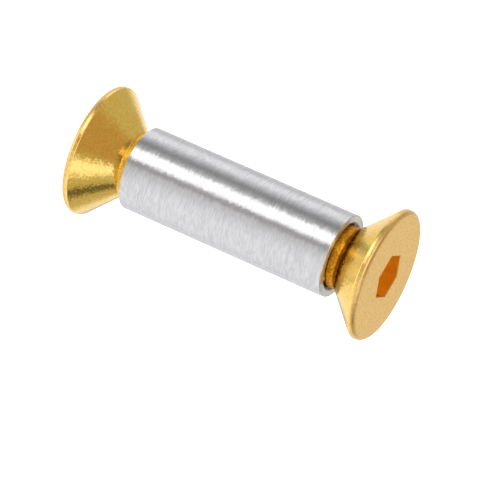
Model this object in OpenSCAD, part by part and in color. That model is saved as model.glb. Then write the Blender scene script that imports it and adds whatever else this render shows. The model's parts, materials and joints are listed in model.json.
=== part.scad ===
// Handle rivet: a threaded sleeve with a countersunk hex-socket screw in each end.
// Millimetres. The axis is Z, and the rivet stands on the flat head of its bottom screw.
// The thread is not drawn: shank and bore are plain, at the thread's outer diameter.

/* [Sleeve] */
// Length of the sleeve
sleeve_length = 13.8; // [11:0.2:40]
// Outer diameter of the sleeve
sleeve_diameter = 5.2; // [4.8:0.05:7.5]
// Radius that breaks the outer edge at each end
sleeve_edge_round = 0.08; // [0.02:0.01:0.15]
// Width of the 45 degree chamfer in each mouth of the bore
mouth_chamfer = 0.2; // [0.05:0.05:0.3]

/* [Thread] */
// Outer diameter of the thread on both screws
thread_diameter = 3.9; // [3:0.1:4.1]
// Gap all round between the shank and the bore
bore_clearance = 0.05; // [0.02:0.01:0.1]

/* [Screws] */
// Length of each screw, with its head
screw_length = 8; // [4:0.5:9.5]
// How far each screw is turned back from where its cone seats in the mouth
unscrewed = 0.75; // [0.05:0.05:3]
// Width of the 45 degree chamfer at the tip of the shank
tip_chamfer = 0.35; // [0.1:0.05:0.6]

/* [Head] */
// Diameter of the head
head_diameter = 8.2; // [7.4:0.1:10]
// Included angle of the cone under the head
cone_angle = 90; // [80:1:100]
// Height of the rim, from the flat face to the cone
rim_height = 0.45; // [0.35:0.05:0.8]
// Radius between the flat face and the rim
face_edge_round = 0.3; // [0.05:0.01:0.3]
// Radius between the rim and the cone
cone_edge_round = 0.1; // [0.02:0.01:0.12]
// Fillet between the cone and the shank
neck_fillet = 0.3; // [0.1:0.05:0.6]

/* [Socket] */
// Width of the hexagon across its flats
socket_width = 2.6; // [2:0.05:3]
// Depth of the hexagon's flat walls
socket_depth = 1.8; // [1:0.1:2.4]
// Included angle of the cone at the bottom of the socket
socket_point_angle = 120; // [110:1:150]

/* [Hidden] */
$fn = 128;
// Overlap that keeps cutting faces clear of the faces they cut
overlap = 0.05;

half_cone = cone_angle / 2;
head_radius = head_diameter / 2;
shank_radius = thread_diameter / 2;
bore_radius = shank_radius + bore_clearance;
mouth_radius = bore_radius + mouth_chamfer;
sleeve_radius = sleeve_diameter / 2;

// Heights above the flat face: where the cone reaches the mouth's radius, and the shank's
seat_height = rim_height + (head_radius - mouth_radius) / tan(half_cone);
neck_height = rim_height + (head_radius - shank_radius) / tan(half_cone);
sleeve_bottom = seat_height + unscrewed;
sleeve_top = sleeve_bottom + sleeve_length;
rivet_length = sleeve_top + sleeve_bottom;

steel_colour = [0.76, 0.77, 0.79];
gold_colour = [0.87, 0.70, 0.35];

function unit(v) = v / norm(v);

// The area between a corner and the arc that rounds it, running a little past both edges.
// along_a and along_b are unit vectors that leave the corner along its two edges.
module corner_area(corner, along_a, along_b, radius) {
    bisector = unit(along_a + along_b);
    half_angle = acos(along_a * bisector);
    centre = corner + bisector * radius / sin(half_angle);
    touch_a = corner + along_a * radius / tan(half_angle);
    touch_b = corner + along_b * radius / tan(half_angle);
    difference() {
        polygon([
            centre,
            touch_a + unit(touch_a - centre) * overlap,
            corner - bisector * overlap / sin(half_angle),
            touch_b + unit(touch_b - centre) * overlap
        ]);
        translate(centre) circle(r = radius);
    }
}

// Half section of a screw, face down: X is the radius and Y the height above the face
module screw_section() {
    cone_down = [sin(half_cone), -cos(half_cone)];
    rim_corner = [head_radius, rim_height];
    neck_corner = [shank_radius, neck_height];
    difference() {
        union() {
            polygon([
                [0, 0],
                [head_radius, 0],
                rim_corner,
                neck_corner,
                [shank_radius, screw_length - tip_chamfer],
                [shank_radius - tip_chamfer, screw_length],
                [0, screw_length]
            ]);
            corner_area(neck_corner, [0, 1], cone_down, neck_fillet);
        }
        corner_area([head_radius, 0], [-1, 0], [0, 1], face_edge_round);
        corner_area(rim_corner, [0, -1], -cone_down, cone_edge_round);
    }
}

// Hexagonal hole for the key, with a corner on the X axis and a cone at its bottom
module socket() {
    point_height = socket_width / 2 / tan(socket_point_angle / 2);
    translate([0, 0, -overlap])
        cylinder(h = socket_depth + overlap, r = socket_width / sqrt(3), $fn = 6);
    translate([0, 0, socket_depth])
        cylinder(h = point_height, r1 = socket_width / 2, r2 = 0);
}

// One screw with its flat face on the XY plane and its shank pointing up
module screw() {
    color(gold_colour)
        difference() {
            rotate_extrude() screw_section();
            socket();
        }
}

// Half section of the sleeve: chamfered mouths inside, rounded edges outside
module sleeve_section() {
    difference() {
        polygon([
            [mouth_radius, sleeve_bottom],
            [sleeve_radius, sleeve_bottom],
            [sleeve_radius, sleeve_top],
            [mouth_radius, sleeve_top],
            [bore_radius, sleeve_top - mouth_chamfer],
            [bore_radius, sleeve_bottom + mouth_chamfer]
        ]);
        corner_area([sleeve_radius, sleeve_bottom], [-1, 0], [0, 1], sleeve_edge_round);
        corner_area([sleeve_radius, sleeve_top], [-1, 0], [0, -1], sleeve_edge_round);
    }
}

module sleeve() {
    color(steel_colour) rotate_extrude() sleeve_section();
}

module bottom_screw() {
    screw();
}

module top_screw() {
    translate([0, 0, rivet_length]) rotate([180, 0, 0]) screw();
}

sleeve();
bottom_screw();
top_screw();
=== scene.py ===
"""Handle rivet: a threaded steel sleeve with a gold-plated countersunk screw in each end.

Sizes are millimetres, and each mesh is scaled to metres when it is made. The rivet stands on the
flat head of its bottom screw, along Z. The camera has the photograph's angle.
"""
import json
import math

import bmesh
import bpy
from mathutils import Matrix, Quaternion, Vector

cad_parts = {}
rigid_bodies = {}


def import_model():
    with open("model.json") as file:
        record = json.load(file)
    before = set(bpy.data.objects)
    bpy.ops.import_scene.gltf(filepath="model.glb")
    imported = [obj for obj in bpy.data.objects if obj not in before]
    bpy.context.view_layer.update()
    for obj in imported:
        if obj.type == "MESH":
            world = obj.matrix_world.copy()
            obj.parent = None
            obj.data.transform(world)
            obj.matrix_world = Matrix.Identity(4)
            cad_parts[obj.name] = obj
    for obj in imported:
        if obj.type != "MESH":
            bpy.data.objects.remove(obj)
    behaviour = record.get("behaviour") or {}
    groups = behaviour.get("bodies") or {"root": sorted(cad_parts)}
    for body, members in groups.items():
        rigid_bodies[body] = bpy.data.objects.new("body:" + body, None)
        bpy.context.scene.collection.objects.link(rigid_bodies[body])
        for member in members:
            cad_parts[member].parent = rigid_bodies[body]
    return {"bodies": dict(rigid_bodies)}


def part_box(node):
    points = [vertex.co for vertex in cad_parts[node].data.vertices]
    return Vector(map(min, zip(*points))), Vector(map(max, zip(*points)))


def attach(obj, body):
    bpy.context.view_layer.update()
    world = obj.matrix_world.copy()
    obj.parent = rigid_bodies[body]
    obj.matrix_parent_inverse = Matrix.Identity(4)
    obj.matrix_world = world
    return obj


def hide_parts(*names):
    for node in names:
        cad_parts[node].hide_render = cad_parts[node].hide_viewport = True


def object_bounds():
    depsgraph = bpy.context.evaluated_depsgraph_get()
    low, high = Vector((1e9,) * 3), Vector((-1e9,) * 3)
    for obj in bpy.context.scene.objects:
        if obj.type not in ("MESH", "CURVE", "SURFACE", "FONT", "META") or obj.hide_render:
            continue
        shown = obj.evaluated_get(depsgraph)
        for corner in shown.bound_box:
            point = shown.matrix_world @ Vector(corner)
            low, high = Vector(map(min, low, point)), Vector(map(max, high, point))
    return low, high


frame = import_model()
cad_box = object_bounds()

MM = 0.001
TAU = 2 * math.pi
DEGREES = 180 / math.pi
WHITE = (1, 1, 1)


def top_of(node):
    """The highest corner of a CAD node's box, in millimetres."""
    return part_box(node)[1] / MM


# Sizes that the frame gives
RIVET_LENGTH = cad_box[1].z / MM
SCREW_LENGTH = top_of("bottom_screw").z
HEAD_RADIUS = top_of("top_screw").x
SLEEVE_RADIUS = top_of("sleeve").x
SLEEVE_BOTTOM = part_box("sleeve")[0].z / MM
SLEEVE_TOP = top_of("sleeve").z

# Head, from its flat face
RIM_HEIGHT = 0.45
FACE_EDGE_ROUND = 0.3
CONE_EDGE_ROUND = 0.1
NECK_FILLET = 0.3

# Socket, with a cone at its bottom
SOCKET_APOTHEM = 1.3
SOCKET_DEPTH = 1.8
SOCKET_HALF_POINT = math.radians(60)
SOCKET_POINT_DEPTH = SOCKET_APOTHEM / math.tan(SOCKET_HALF_POINT)
SOCKET_EDGE = 0.035
ROUND_SOCKET = SOCKET_APOTHEM * 1.3

# Sleeve
SLEEVE_EDGE_ROUND = 0.08
MOUTH_RADIUS = 2.2

# Thread, M4 x 0.7. One helix serves all three pieces, so the screws mesh with the sleeve.
PITCH = 0.7
CREST_RADIUS = 1.95
BORE_CLEARANCE = 0.05
CREST_SHARE = 2 / 16
FLANK_SHARE = 5 / 16
HALF_THREAD_ANGLE = math.radians(30)
THREAD_DEPTH = FLANK_SHARE * PITCH / math.tan(HALF_THREAD_ANGLE)
TIP_RADIUS = 1.6
NECK_HEIGHT = RIM_HEIGHT + HEAD_RADIUS - CREST_RADIUS
COLLAR_LENGTH = 0.45
RUN_OUT_START = NECK_HEIGHT + COLLAR_LENGTH
RUN_OUT_LENGTH = 0.4
# The bore's thread starts deep enough to stay clear of a collar that is turned in by one pitch
RUN_IN_GAP = 0.05
RUN_IN_START = RUN_OUT_START + PITCH - SLEEVE_BOTTOM + RUN_IN_GAP

# Mesh fineness
SEGMENTS = 192
ARC_STEPS = 8
ROWS_PER_PITCH = 16
SUPPORT = 0.02
MERGE_DISTANCE = 1e-4
SHARP_ANGLE = math.radians(30)

# Camera, fitted to the photograph's outline. Azimuth 0 looks along +Y.
CAMERA_AIM = Vector((-1.738, 0.786, 11.342))
CAMERA_AZIMUTH = 140.3
CAMERA_ELEVATION = 19.7
CAMERA_ROLL = 114.0
CAMERA_DISTANCE = 210.2
CAMERA_LENS = 256
CAMERA_CLIP_START = 10

FLOOR_RADIUS = 2000
FLOOR_DROP = 0.01
FLOOR_COLOUR = (0.9, 0.9, 0.9, 1)
FLOOR_GLOW = 0.8

# Colours. A mottled surface has two, its first where the noise is low.
STEEL_SHADES = ((0.69, 0.69, 0.705), (0.57, 0.57, 0.58))
PLATING_SHADES = ((1.0, 0.70, 0.15), (0.96, 0.61, 0.105))
# The face and rim take a paler plating, a painted whitening of their highlights.
FACE_HIGHLIGHT_PALE_SHADES = ((1.0, 0.69, 0.27), (0.96, 0.62, 0.20))
# The collar's darker orange is the neck's own orange together with painted shade in the gap between
# head and sleeve.
COLLAR_PAINTED_SHADES = ((0.95, 0.46, 0.03), (0.6, 0.26, 0.012))
# Painted shade: a darker brown on the face's rounded edge stands in for a dark reflection there.
EDGE_PAINTED_SHADE = (0.84, 0.54, 0.19)
PIT_COLOUR = (0.7, 0.42, 0.09)
SOCKET_COLOUR = (1.0, 0.71, 0.1)
# Painted shade: the bore is coloured dark because shade fills it.
BORE_PAINTED_SHADE = (0.18, 0.16, 0.14)

# Studio light, seen from the rivet. Each patch is centre azimuth from the camera's, elevation, half
# width, half height, width and height of its soft edges, all in degrees, then its light, which is
# a grey or a colour.
DOME_LIGHT = 0.57
STUDIO_PATCHES = [
    # The white table, shaded on the left
    (0, -90, 180, 50, 1, 10, 1.05),
    (-90, -90, 75, 50, 30, 10, 0.86),
    (-50, -90, 8, 50, 35, 10, 0.75),
    (20, -74, 45, 12, 28, 8, (2.5, 2.2, 2.1)),
    # Boxes and flags at the sides, low down
    (-136, -20, 10, 20, 20, 10, 0.77),
    (10, -20, 30, 20, 20, 10, 0.7),
    (90, -20, 25, 20, 62, 10, 1.28),
    (140, -20, 12, 20, 14, 10, 1.06),
    (-106, -20, 4, 20, 24.5, 10, 1.33),
    (-163, -22, 4, 22, 21, 12, 1.0),
    (-67.3, -20, 2.5, 20, 10, 10, 0.23),
    (-28.5, -18, 9.5, 13, 13, 8, 3.2),
    (-4.5, -20, 3, 20, 11, 10, 0.22),
    (-32, 6, 14, 8, 16, 8, (0.36, 0.33, 0.3)),
    (48, 16, 12, 18, 20, 14, 1.05),
    # Boxes and flags overhead
    (-10, 33, 35, 12, 20, 10, 1.5),
    (-40, 66, 60, 10, 30, 14, (0.5, 0.38, 0.3)),
    (66, 58, 6, 9, 22, 13, (1.28, 1.36, 2.2)),
    (180, 52, 25, 10, 22, 10, (0.8, 0.75, 0.64)),
    (114, 34, 2, 5, 12, 9, 0.12),
    (160, 5, 4, 4, 22, 14, (1.0, 1.05, 1.25)),
    (180, 18, 15, 8, 15, 8, (0.84, 0.8, 0.67)),
]
# Enough bounces for the light inside the sockets
GLOSSY_BOUNCES = 12


def smooth_step(value, low, high):
    share = min(max((value - low) / (high - low), 0), 1)
    return share * share * (3 - 2 * share)


def point(radius, turn, height):
    return (radius * math.cos(turn), radius * math.sin(turn), height)


def rounded(corners):
    """The points of an open outline. Each corner is (radius, height, rounding)."""
    points = []
    for i, (radius, height, rounding) in enumerate(corners):
        corner = Vector((radius, height))
        if rounding == 0:
            points.append(corner)
            continue
        before = (Vector(corners[i - 1][:2]) - corner).normalized()
        after = (Vector(corners[i + 1][:2]) - corner).normalized()
        half_angle = before.angle(after) / 2
        centre = corner + (before + after).normalized() * rounding / math.sin(half_angle)
        reach = rounding / math.tan(half_angle)
        start, end = corner + before * reach, corner + after * reach
        shares = [step / ARC_STEPS for step in range(ARC_STEPS + 1)]
        spokes = [(start - centre).slerp(end - centre, share).normalized() for share in shares]
        arc = [centre + spoke * rounding for spoke in spokes]
        points += [start + before * SUPPORT, *arc, end + after * SUPPORT]
    return points


def hexagon_radius(turn, apothem):
    """Distance from the axis to a hexagon that has a corner on X."""
    return apothem / math.cos(turn % (TAU / 6) - TAU / 12)


def thread_depth(turn, height, start):
    """Depth below the crest on a right-handed helix whose crest passes turn 0 at the height start."""
    phase = ((height - start) / PITCH - turn / TAU) % 1
    off_crest = min(phase, 1 - phase) - CREST_SHARE / 2
    return THREAD_DEPTH * min(max(off_crest / FLANK_SHARE, 0), 1)


class Surface:
    """A closed surface built from quads between rows of points round the Z axis."""

    def __init__(self):
        self.mesh = bmesh.new()
        self.turns = [TAU * i / SEGMENTS for i in range(SEGMENTS + 1)]

    def strip(self, columns):
        """Quads between neighbouring columns, each a list of points at one turn."""
        columns = [[self.mesh.verts.new(p) for p in column] for column in columns]
        for left, right in zip(columns, columns[1:]):
            for i in range(len(left) - 1):
                self.mesh.faces.new((left[i], right[i], right[i + 1], left[i + 1]))

    def revolve(self, outline):
        """Turns an outline of (radius, height) points. A radius may be a function of the turn."""
        def radius_at(radius, turn):
            return radius(turn) if callable(radius) else radius
        self.strip([[point(radius_at(r, turn), turn, z) for r, z in outline] for turn in self.turns])

    def thread(self, radius_at, low, high, start):
        """The threaded stretch from low to high. Its rows follow the helix and stop at the ends."""
        step = PITCH / ROWS_PER_PITCH
        first = math.floor((low - start) / step) - ROWS_PER_PITCH
        last = math.ceil((high - start) / step)
        columns = []
        for turn in self.turns:
            rise = start + PITCH * turn / TAU
            heights = [min(max(rise + j * step, low), high) for j in range(first, last + 1)]
            columns.append([point(radius_at(turn, z), turn, z) for z in heights])
        self.strip(columns)

    def finish(self, name):
        """A smooth-shaded object in metres, with its seams merged and its sharp edges kept."""
        bmesh.ops.remove_doubles(self.mesh, verts=self.mesh.verts, dist=MERGE_DISTANCE)
        bmesh.ops.recalc_face_normals(self.mesh, faces=self.mesh.faces)
        bmesh.ops.scale(self.mesh, vec=(MM, MM, MM), verts=self.mesh.verts)
        data = bpy.data.meshes.new(name)
        self.mesh.to_mesh(data)
        self.mesh.free()
        data.shade_smooth()
        data.set_sharp_from_angle(angle=SHARP_ANGLE)
        piece = bpy.data.objects.new(name, data)
        bpy.context.scene.collection.objects.link(piece)
        return piece


def make_screw(name, thread_start):
    """A countersunk screw with its face on the XY plane and its shank up."""
    def shank_radius(turn, height):
        run_out = smooth_step(height, RUN_OUT_START, RUN_OUT_START + RUN_OUT_LENGTH)
        threaded = CREST_RADIUS - run_out * thread_depth(turn, height, thread_start)
        return min(threaded, TIP_RADIUS + SCREW_LENGTH - height)

    def hexagon(grow):
        return lambda turn: hexagon_radius(turn, SOCKET_APOTHEM + grow)

    surface = Surface()
    surface.revolve([
        (0, SOCKET_DEPTH + SOCKET_POINT_DEPTH),
        (SOCKET_APOTHEM, SOCKET_DEPTH),
        (hexagon(0), SOCKET_DEPTH),
        (hexagon(0), SOCKET_EDGE + SUPPORT),
        (hexagon(0), SOCKET_EDGE),
        (hexagon(SOCKET_EDGE), 0),
        (hexagon(SOCKET_EDGE + SUPPORT), 0),
        *rounded([
            (ROUND_SOCKET, 0, 0),
            (HEAD_RADIUS, 0, FACE_EDGE_ROUND),
            (HEAD_RADIUS, RIM_HEIGHT, CONE_EDGE_ROUND),
            (CREST_RADIUS, NECK_HEIGHT, NECK_FILLET),
            (CREST_RADIUS, RUN_OUT_START, 0),
        ]),
    ])
    surface.thread(shank_radius, RUN_OUT_START, SCREW_LENGTH, thread_start)
    surface.revolve([
        (lambda turn: shank_radius(turn, SCREW_LENGTH), SCREW_LENGTH),
        (0, SCREW_LENGTH),
    ])
    return surface.finish(name)


def turn_over(screw):
    """Turns a screw end for end, with its face at the top of the rivet."""
    screw.data.transform(Quaternion((1, 0, 0), math.pi).to_matrix().to_4x4())
    for vertex in screw.data.vertices:
        vertex.co.z += RIVET_LENGTH * MM


def make_sleeve(name):
    """The tube: brushed outside with rounded edges, threaded inside between plain ends."""
    def bore_radius(turn, height):
        from_end = min(height - SLEEVE_BOTTOM, SLEEVE_TOP - height)
        run_in = smooth_step(from_end, RUN_IN_START, RUN_IN_START + RUN_OUT_LENGTH)
        threaded = CREST_RADIUS + BORE_CLEARANCE - run_in * thread_depth(turn, height, 0)
        return max(threaded, MOUTH_RADIUS - from_end)

    surface = Surface()
    surface.revolve(rounded([
        (MOUTH_RADIUS, SLEEVE_BOTTOM, 0),
        (SLEEVE_RADIUS, SLEEVE_BOTTOM, SLEEVE_EDGE_ROUND),
        (SLEEVE_RADIUS, SLEEVE_TOP, SLEEVE_EDGE_ROUND),
        (MOUTH_RADIUS, SLEEVE_TOP, 0),
    ]))
    surface.thread(bore_radius, SLEEVE_BOTTOM, SLEEVE_TOP, 0)
    return surface.finish(name)


def stand_in(piece, node, material):
    """The piece takes its CAD node's place and moves with that node's body."""
    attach(piece, node)
    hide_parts(node)
    piece.data.materials.append(material)


class Graph:
    """Short calls for adding nodes to a tree. A value is a number or another node's output."""

    def __init__(self, tree):
        self.tree = tree

    def add(self, kind, **settings):
        node = self.tree.nodes.new(kind)
        for name, value in settings.items():
            setattr(node, name, value)
        return node

    def link(self, value, socket):
        if isinstance(value, bpy.types.NodeSocket):
            self.tree.links.new(value, socket)
        else:
            socket.default_value = value

    def math(self, operation, *values):
        node = self.add("ShaderNodeMath", operation=operation)
        for value, socket in zip(values, node.inputs):
            self.link(value, socket)
        return node.outputs[0]

    def vector(self, operation, first, second=None):
        """Vector maths. The second value of SCALE is its factor."""
        node = self.add("ShaderNodeVectorMath", operation=operation)
        self.link(first, node.inputs[0])
        if second is not None:
            self.link(second, node.inputs["Scale"] if operation == "SCALE" else node.inputs[1])
        return node.outputs[0]

    def split(self, vector):
        node = self.add("ShaderNodeSeparateXYZ")
        self.link(vector, node.inputs[0])
        return node.outputs

    def join(self, x, y, z):
        node = self.add("ShaderNodeCombineXYZ")
        for value, socket in zip((x, y, z), node.inputs):
            self.link(value, socket)
        return node.outputs[0]

    def noise(self, place, scale, detail):
        """Noise as a value and as a colour of three unlike values, all about 0.5."""
        node = self.add("ShaderNodeTexNoise")
        self.link(place, node.inputs["Vector"])
        self.link(scale, node.inputs["Scale"])
        self.link(detail, node.inputs["Detail"])
        return node.outputs[0], node.outputs[1]

    def fade(self, value, full, none):
        """1 up to full, falling smoothly to 0 at none. Full may also be the higher of the two."""
        node = self.add("ShaderNodeMapRange", interpolation_type="SMOOTHSTEP")
        for number, socket in zip((value, full, none, 1, 0), node.inputs):
            self.link(number, socket)
        return node.outputs[0]

    def mix(self, share, first, second):
        """A blend of two colours."""
        node = self.add("ShaderNodeMix", data_type="RGBA")
        values = (share, first, second)
        for value, socket in zip(values, (node.inputs[0], node.inputs[6], node.inputs[7])):
            self.link((*value, 1) if isinstance(value, tuple) else value, socket)
        return node.outputs[2]


def new_material(name):
    material = bpy.data.materials.new(name)
    material.use_nodes = True
    return material, Graph(material.node_tree), material.node_tree.nodes["Principled BSDF"]


def turned_position(graph):
    """The place on a turned piece, its distance from the axis and the run of the cut, in millimetres.

    The run grows along the axis and along the radius, so it crosses the tool's lines on a side and
    on an end face.
    """
    place = graph.vector("SCALE", graph.add("ShaderNodeTexCoord").outputs["Object"], 1 / MM)
    x, y, z = graph.split(place)
    squares = graph.math("ADD", graph.math("MULTIPLY", x, x), graph.math("MULTIPLY", y, y))
    radius = graph.math("SQRT", squares)
    return place, radius, graph.math("ADD", z, graph.math("MULTIPLY", radius, 0.8))


def line_noise(graph, place, run, per_turn, per_run, detail):
    """Noise drawn out into lines round the axis."""
    x, y, _ = graph.split(place)
    stretched = graph.join(graph.math("MULTIPLY", x, per_turn), graph.math("MULTIPLY", y, per_turn),
                           graph.math("MULTIPLY", run, per_run))
    return graph.noise(stretched, 1, detail)


def tilted_normal(graph, tilts):
    """The normal, tipped by each (noise colour, amount across the axis, amount along it)."""
    normal = graph.add("ShaderNodeNewGeometry").outputs["Normal"]
    for colour, across, along in tilts:
        tilt = graph.vector("SUBTRACT", colour, (0.5, 0.5, 0.5))
        tilt = graph.vector("MULTIPLY", tilt, graph.join(across, across, along))
        normal = graph.vector("ADD", normal, tilt)
    return graph.vector("NORMALIZE", normal)


def steel():
    """Brushed round the axis: fine lines that spread each reflection along the axis."""
    material, graph, shader = new_material("brushed_steel")
    place, radius, run = turned_position(graph)
    fine, fine_colour = line_noise(graph, place, run, 2.2, 19, 2)
    coarse, coarse_colour = line_noise(graph, place, run, 0.5, 3.5, 2)
    speck_colour = graph.noise(place, 11, 1)[1]
    shade = graph.math("ADD", fine, graph.math("MULTIPLY", coarse, 0.3))
    brushed = graph.mix(graph.fade(shade, 0.85, 0.45), *STEEL_SHADES)
    # Painted shade: the bore inside the sleeve is coloured dark.
    in_shaded_bore = graph.fade(radius, MOUTH_RADIUS - 0.08, MOUTH_RADIUS - 0.01)
    graph.link(graph.mix(in_shaded_bore, brushed, BORE_PAINTED_SHADE), shader.inputs["Base Color"])
    shader.inputs["Metallic"].default_value = 1
    graph.link(graph.math("MULTIPLY_ADD", fine, 0.16, 0.24), shader.inputs["Roughness"])
    shader.inputs["Anisotropic"].default_value = 0.95
    shader.inputs["Anisotropic Rotation"].default_value = 0.25
    tangent = graph.add("ShaderNodeTangent", direction_type="RADIAL", axis="Z").outputs[0]
    graph.link(tangent, shader.inputs["Tangent"])
    tilts = [(fine_colour, 0.18, 0.06), (coarse_colour, 0.03, 0.02), (speck_colour, 0.12, 0.03)]
    graph.link(tilted_normal(graph, tilts), shader.inputs["Normal"])
    return material


def gold_zones(graph, place, radius):
    """Where the colour differs, as shares: off the rim and face, on the face's edge, which has painted
    shade, in the socket and on the collar, whose darker orange is the neck's own orange with painted
    shade, less of it on the lit bottom screw."""
    z = graph.split(place)[2]
    height = graph.math("MINIMUM", z, graph.math("SUBTRACT", RIVET_LENGTH, z))
    off_rim = graph.fade(height, RIM_HEIGHT + 0.03, RIM_HEIGHT - 0.05)
    inside = graph.fade(radius, SOCKET_APOTHEM * 1.2, ROUND_SOCKET)
    outside = graph.fade(inside, 0.1, 0.9)
    in_socket = graph.math("MULTIPLY", inside, graph.fade(height, 0.06, 0.02))
    below_edge = graph.fade(height, FACE_EDGE_ROUND - 0.04, FACE_EDGE_ROUND + 0.06)
    off_face = graph.math("MULTIPLY", graph.fade(height, 0.05, 0), outside)
    on_shaded_edge = graph.math("MULTIPLY", below_edge, off_face)
    from_collar = graph.math("ABSOLUTE", graph.math("SUBTRACT", height, NECK_HEIGHT + 0.3))
    on_shaded_collar = graph.math("MULTIPLY", graph.fade(from_collar, 0.27, 0.45), outside)
    # Less painted shade on the collar of the bottom screw, whose neck is lit.
    on_lit_bottom = graph.fade(z, RIVET_LENGTH / 2 - 1, RIVET_LENGTH / 2 + 1)
    on_shaded_collar = graph.math("MULTIPLY", on_shaded_collar, graph.math("MULTIPLY_ADD", on_lit_bottom, -0.35, 1))
    return off_rim, on_shaded_edge, in_socket, on_shaded_collar


def gold_satin(graph, grain, on_shaded_edge, on_shaded_collar):
    """Roughness: the flat faces are smoother than the cone, and the side, edge and collar rougher."""
    up = graph.split(graph.add("ShaderNodeNewGeometry").outputs["True Normal"])[2]
    steep = graph.math("ABSOLUTE", up)
    satin = graph.math("MULTIPLY_ADD", graph.fade(steep, 0.9, 0.98), -0.16, 0.26)
    satin = graph.math("MULTIPLY_ADD", graph.fade(steep, 0.05, 0.2), 0.15, satin)
    satin = graph.math("MULTIPLY_ADD", on_shaded_collar, 0.3, satin)
    satin = graph.math("MULTIPLY_ADD", on_shaded_edge, 0.15, satin)
    return graph.math("MULTIPLY_ADD", grain, 0.1, satin)


def gold():
    """Gold-coloured plating with a fine grain, over a turned head."""
    material, graph, shader = new_material("gold_plate")
    place, radius, run = turned_position(graph)
    off_rim, on_shaded_edge, in_socket, on_shaded_collar = gold_zones(graph, place, radius)
    grain, grain_colour = graph.noise(place, 8, 1)
    speck, speck_colour = graph.noise(place, 6.5, 3)
    line_colour = line_noise(graph, place, run, 0.8, 9, 2)[1]

    shade = graph.math("ADD", grain, graph.math("MULTIPLY", graph.noise(place, 2.2, 2)[0], 0.5))
    plating = graph.mix(graph.fade(shade, 1.0, 0.5), *PLATING_SHADES)
    face = graph.mix(graph.fade(shade, 1.0, 0.5), *FACE_HIGHLIGHT_PALE_SHADES)
    # The collar's darker orange is partly painted shade in the gap between head and sleeve.
    collar = graph.mix(graph.fade(shade, 0.85, 0.65), *COLLAR_PAINTED_SHADES)
    pits = graph.math("MULTIPLY_ADD", off_rim, -0.25, 0.5)
    pits = graph.math("MULTIPLY", graph.fade(speck, 0.4, 0.58), pits)
    # The paler plating on the face and rim is a painted whitening of their highlights.
    colour = graph.mix(off_rim, face, plating)
    # Painted shade: the face's rounded edge turns a darker brown, a painted dark reflection.
    colour = graph.mix(on_shaded_edge, colour, EDGE_PAINTED_SHADE)
    colour = graph.mix(pits, colour, PIT_COLOUR)
    colour = graph.mix(in_socket, colour, SOCKET_COLOUR)
    graph.link(graph.mix(on_shaded_collar, colour, collar), shader.inputs["Base Color"])
    shader.inputs["Metallic"].default_value = 1
    graph.link(gold_satin(graph, grain, on_shaded_edge, on_shaded_collar), shader.inputs["Roughness"])

    grain_tilt = graph.math("MULTIPLY_ADD", off_rim, 0.05, 0.11)
    line_tilt = graph.math("MULTIPLY_ADD", on_shaded_collar, 0.4, 0.03)
    tilts = [
        (grain_colour, grain_tilt, grain_tilt),
        (speck_colour, 0.1, 0.1),
        (line_colour, 0.03, line_tilt),
    ]
    graph.link(tilted_normal(graph, tilts), shader.inputs["Normal"])
    return material


def direction(azimuth, elevation):
    """Unit vector from the object towards a viewer."""
    azimuth, elevation = math.radians(azimuth), math.radians(elevation)
    level = math.cos(elevation)
    return Vector((math.sin(azimuth) * level, -math.cos(azimuth) * level, math.sin(elevation)))


def add_camera():
    data = bpy.data.cameras.new("camera")
    data.lens = CAMERA_LENS
    data.clip_start = CAMERA_CLIP_START * MM
    camera = bpy.data.objects.new("camera", data)
    back = direction(CAMERA_AZIMUTH, CAMERA_ELEVATION)
    camera.location = (CAMERA_AIM + back * CAMERA_DISTANCE) * MM
    camera.rotation_mode = "QUATERNION"
    roll = Quaternion((0, 0, 1), math.radians(CAMERA_ROLL))
    camera.rotation_quaternion = back.to_track_quat("Z", "Y") @ roll
    bpy.context.scene.collection.objects.link(camera)
    bpy.context.scene.camera = camera


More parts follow.
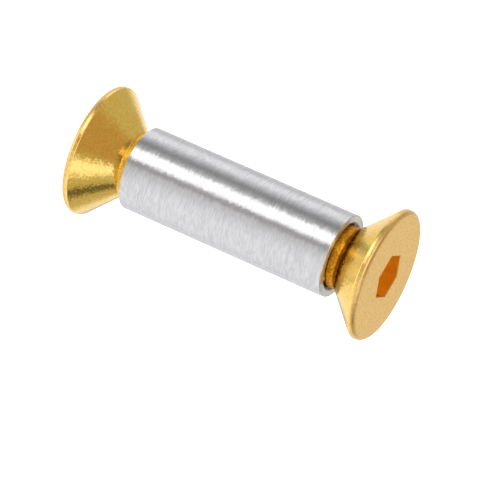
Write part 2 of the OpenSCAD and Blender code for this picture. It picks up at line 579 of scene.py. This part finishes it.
def add_floor():
    """A pale floor under the bottom head. It follows that head, which the rivet stands on."""
    mesh = bmesh.new()
    bmesh.ops.create_circle(mesh, cap_ends=True, segments=64, radius=FLOOR_RADIUS * MM)
    data = bpy.data.meshes.new("floor")
    mesh.to_mesh(data)
    mesh.free()
    floor = bpy.data.objects.new("floor", data)
    bpy.context.scene.collection.objects.link(floor)
    floor.parent = frame["bodies"]["bottom_screw"]
    floor.location.z = -FLOOR_DROP * MM
    floor.visible_glossy = False
    material, _, shader = new_material("pale_floor")
    shader.inputs["Base Color"].default_value = FLOOR_COLOUR
    shader.inputs["Roughness"].default_value = 0.9
    shader.inputs["Emission Color"].default_value = (*WHITE, 1)
    shader.inputs["Emission Strength"].default_value = FLOOR_GLOW
    data.materials.append(material)


def add_world():
    """Soft studio light: a level dome with soft-edged boxes and flags, and plain white behind."""
    world = bpy.data.worlds.new("studio")
    bpy.context.scene.world = world
    bpy.context.scene.view_settings.view_transform = "Standard"
    world.use_nodes = True
    graph = Graph(world.node_tree)
    x, y, z = graph.split(graph.add("ShaderNodeTexCoord").outputs["Generated"])
    azimuth = graph.math("MULTIPLY", graph.math("ARCTAN2", x, graph.math("MULTIPLY", y, -1)), DEGREES)
    elevation = graph.math("MULTIPLY", graph.math("ARCSINE", z), DEGREES)
    light = (DOME_LIGHT,) * 3
    for centre, height, half_width, half_height, soft_width, soft_height, patch_light in STUDIO_PATCHES:
        off = graph.math("SUBTRACT", azimuth, CAMERA_AZIMUTH + centre)
        off = graph.math("ABSOLUTE", graph.math("WRAP", off, -180, 180))
        across = graph.fade(off, half_width, half_width + soft_width)
        off = graph.math("ABSOLUTE", graph.math("SUBTRACT", elevation, height))
        along = graph.fade(off, half_height, half_height + soft_height)
        if not isinstance(patch_light, tuple):
            patch_light = (patch_light,) * 3
        light = graph.mix(graph.math("MULTIPLY", across, along), light, patch_light)
    seen = graph.add("ShaderNodeLightPath").outputs["Is Camera Ray"]
    graph.link(graph.mix(seen, light, WHITE), world.node_tree.nodes["Background"].inputs["Color"])


bottom_screw = make_screw("bottom_screw_plated", 0)
top_screw = make_screw("top_screw_plated", RIVET_LENGTH)
turn_over(top_screw)
sleeve = make_sleeve("sleeve_brushed")

gold_plate = gold()
stand_in(bottom_screw, "bottom_screw", gold_plate)
stand_in(top_screw, "top_screw", gold_plate)
stand_in(sleeve, "sleeve", steel())

bpy.context.scene.cycles.glossy_bounces = GLOSSY_BOUNCES
add_camera()
add_floor()
add_world()
